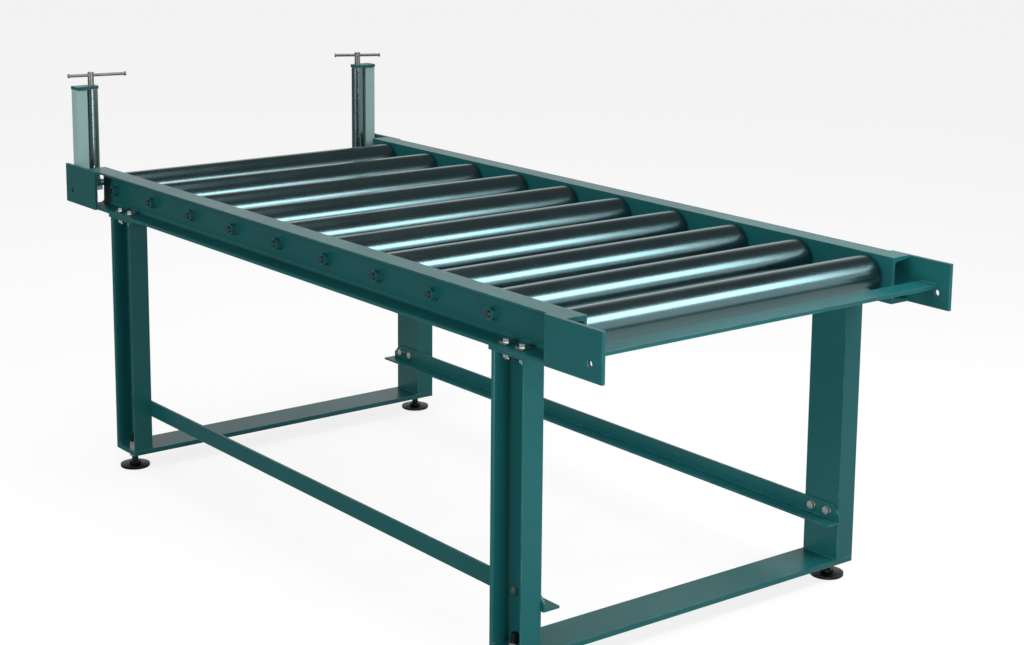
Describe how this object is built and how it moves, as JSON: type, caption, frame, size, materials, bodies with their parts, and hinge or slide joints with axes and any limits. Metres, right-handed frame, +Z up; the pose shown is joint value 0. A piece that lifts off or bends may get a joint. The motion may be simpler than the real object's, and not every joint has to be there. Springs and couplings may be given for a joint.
{
  "type": "outfeed table",
  "caption": "Roller outfeed table for a saw: channel rails on channel legs carry free-turning steel rollers, with upright guide rollers clamped by T-handles at one end.",
  "frame": {"origin": "on the floor, under the middle of the table", "axes": "+X along the table, from the guide rollers to the plain end; +Y from the front rail to the rear rail; +Z up"},
  "size_m": [2.173, 0.962, 1],
  "materials": {
    "frame_paint": "satin paint",
    "roller_steel": "ground, polished dark by use",
    "end_cap_steel": "pressed, zinc plated",
    "bearing_steel": "bearing steel",
    "axle_steel": "turned",
    "bolt_zinc": "zinc plated",
    "nut_dark": "painted over with the frame",
    "foot_steel": "blackened",
    "bush_bronze": "sintered",
    "handle_steel": "bright drawn"
  },
  "bodies": {
    "frame": {"front_rail": "frame_paint", "rear_rail": "frame_paint", "left_front_leg": "frame_paint", "right_front_leg": "frame_paint", "left_rear_leg": "frame_paint", "right_rear_leg": "frame_paint", "left_front_end_plate": "frame_paint", "right_front_end_plate": "frame_paint", "left_rear_end_plate": "frame_paint", "right_rear_end_plate": "frame_paint", "left_floor_tie": "frame_paint", "right_floor_tie": "frame_paint", "front_stretcher": "frame_paint", "rear_stretcher": "frame_paint", "left_cross_bar": "frame_paint", "right_cross_bar": "frame_paint", "leg_head_plates": "frame_paint", "roller_axles": "axle_steel", "bearing_inner_rings": "bearing_steel", "axle_nuts": "nut_dark", "frame_fasteners": "bolt_zinc", "foot_nuts": "bolt_zinc"},
    "roller_1": {"roller_tube_1": "roller_steel", "roller_ends_1": "end_cap_steel"},
    "roller_2": {"roller_tube_2": "roller_steel", "roller_ends_2": "end_cap_steel"},
    "roller_3": {"roller_tube_3": "roller_steel", "roller_ends_3": "end_cap_steel"},
    "roller_4": {"roller_tube_4": "roller_steel", "roller_ends_4": "end_cap_steel"},
    "roller_5": {"roller_tube_5": "roller_steel", "roller_ends_5": "end_cap_steel"},
    "roller_6": {"roller_tube_6": "roller_steel", "roller_ends_6": "end_cap_steel"},
    "roller_7": {"roller_tube_7": "roller_steel", "roller_ends_7": "end_cap_steel"},
    "roller_8": {"roller_tube_8": "roller_steel", "roller_ends_8": "end_cap_steel"},
    "roller_9": {"roller_tube_9": "roller_steel", "roller_ends_9": "end_cap_steel"},
    "roller_10": {"roller_tube_10": "roller_steel", "roller_ends_10": "end_cap_steel"},
    "front_guide": {"front_guide_upright": "frame_paint", "front_guide_plates": "frame_paint", "front_guide_clamp_nut": "bolt_zinc"},
    "front_guide_wheel": {"front_guide_roller": "roller_steel", "front_guide_bushes": "bush_bronze"},
    "front_guide_screw": {"front_guide_spindle": "handle_steel"},
    "front_guide_handle": {"front_tommy_bar": "handle_steel"},
    "rear_guide": {"rear_guide_upright": "frame_paint", "rear_guide_plates": "frame_paint", "rear_guide_clamp_nut": "bolt_zinc"},
    "rear_guide_wheel": {"rear_guide_roller": "roller_steel", "rear_guide_bushes": "bush_bronze"},
    "rear_guide_screw": {"rear_guide_spindle": "handle_steel"},
    "rear_guide_handle": {"rear_tommy_bar": "handle_steel"},
    "left_front_foot": {"left_front_levelling_foot": "foot_steel"},
    "right_front_foot": {"right_front_levelling_foot": "foot_steel"},
    "left_rear_foot": {"left_rear_levelling_foot": "foot_steel"},
    "right_rear_foot": {"right_rear_levelling_foot": "foot_steel"}
  },
  "joints": [
    {"name": "roller_1_spin", "type": "hinge", "parent": "frame", "child": "roller_1", "pos_m": [-0.897, 0, 0.71], "axis": [0, 1, 0], "continuous": true},
    {"name": "roller_2_spin", "type": "hinge", "parent": "frame", "child": "roller_2", "pos_m": [-0.697, 0, 0.71], "axis": [0, 1, 0], "continuous": true},
    {"name": "roller_3_spin", "type": "hinge", "parent": "frame", "child": "roller_3", "pos_m": [-0.497, 0, 0.71], "axis": [0, 1, 0], "continuous": true},
    {"name": "roller_4_spin", "type": "hinge", "parent": "frame", "child": "roller_4", "pos_m": [-0.297, 0, 0.71], "axis": [0, 1, 0], "continuous": true},
    {"name": "roller_5_spin", "type": "hinge", "parent": "frame", "child": "roller_5", "pos_m": [-0.097, 0, 0.71], "axis": [0, 1, 0], "continuous": true},
    {"name": "roller_6_spin", "type": "hinge", "parent": "frame", "child": "roller_6", "pos_m": [0.103, 0, 0.71], "axis": [0, 1, 0], "continuous": true},
    {"name": "roller_7_spin", "type": "hinge", "parent": "frame", "child": "roller_7", "pos_m": [0.303, 0, 0.71], "axis": [0, 1, 0], "continuous": true},
    {"name": "roller_8_spin", "type": "hinge", "parent": "frame", "child": "roller_8", "pos_m": [0.503, 0, 0.71], "axis": [0, 1, 0], "continuous": true},
    {"name": "roller_9_spin", "type": "hinge", "parent": "frame", "child": "roller_9", "pos_m": [0.703, 0, 0.71], "axis": [0, 1, 0], "continuous": true},
    {"name": "roller_10_spin", "type": "hinge", "parent": "frame", "child": "roller_10", "pos_m": [0.903, 0, 0.71], "axis": [0, 1, 0], "continuous": true},
    {"name": "front_guide_slide", "type": "slide", "parent": "frame", "child": "front_guide", "axis": [0, 1, 0], "range_m": [0, 0.3]},
    {"name": "front_guide_roller_spin", "type": "hinge", "parent": "front_guide_screw", "child": "front_guide_wheel", "pos_m": [-1.049, -0.416, 0.84], "axis": [0, 0, 1], "continuous": true},
    {"name": "front_clamp_turn", "type": "hinge", "parent": "front_guide", "child": "front_guide_screw", "pos_m": [-1.049, -0.416, 0.84], "axis": [0, 0, 1], "range_deg": [0, 360]},
    {"name": "front_tommy_bar_slide", "type": "slide", "parent": "front_guide_screw", "child": "front_guide_handle", "axis": [0.1822, 0.9833, 0], "range_m": [-0.0815, 0.0475]},
    {"name": "rear_guide_slide", "type": "slide", "parent": "frame", "child": "rear_guide", "axis": [0, -1, 0], "range_m": [0, 0.3]},
    {"name": "rear_guide_roller_spin", "type": "hinge", "parent": "rear_guide_screw", "child": "rear_guide_wheel", "pos_m": [-1.049, 0.416, 0.84], "axis": [0, 0, 1], "continuous": true},
    {"name": "rear_clamp_turn", "type": "hinge", "parent": "rear_guide", "child": "rear_guide_screw", "pos_m": [-1.049, 0.416, 0.84], "axis": [0, 0, 1], "range_deg": [0, 360]},
    {"name": "rear_tommy_bar_slide", "type": "slide", "parent": "rear_guide_screw", "child": "rear_guide_handle", "axis": [0.4695, 0.8829, 0], "range_m": [-0.0525, 0.0525]},
    {"name": "left_front_foot_adjust", "type": "slide", "parent": "frame", "child": "left_front_foot", "axis": [0, 0, 1], "range_m": [-0.018, 0.012]},
    {"name": "right_front_foot_adjust", "type": "slide", "parent": "frame", "child": "right_front_foot", "axis": [0, 0, 1], "range_m": [-0.018, 0.012]},
    {"name": "left_rear_foot_adjust", "type": "slide", "parent": "frame", "child": "left_rear_foot", "axis": [0, 0, 1], "range_m": [-0.018, 0.012]},
    {"name": "right_rear_foot_adjust", "type": "slide", "parent": "frame", "child": "right_rear_foot", "axis": [0, 0, 1], "range_m": [-0.018, 0.012]}
  ]
}
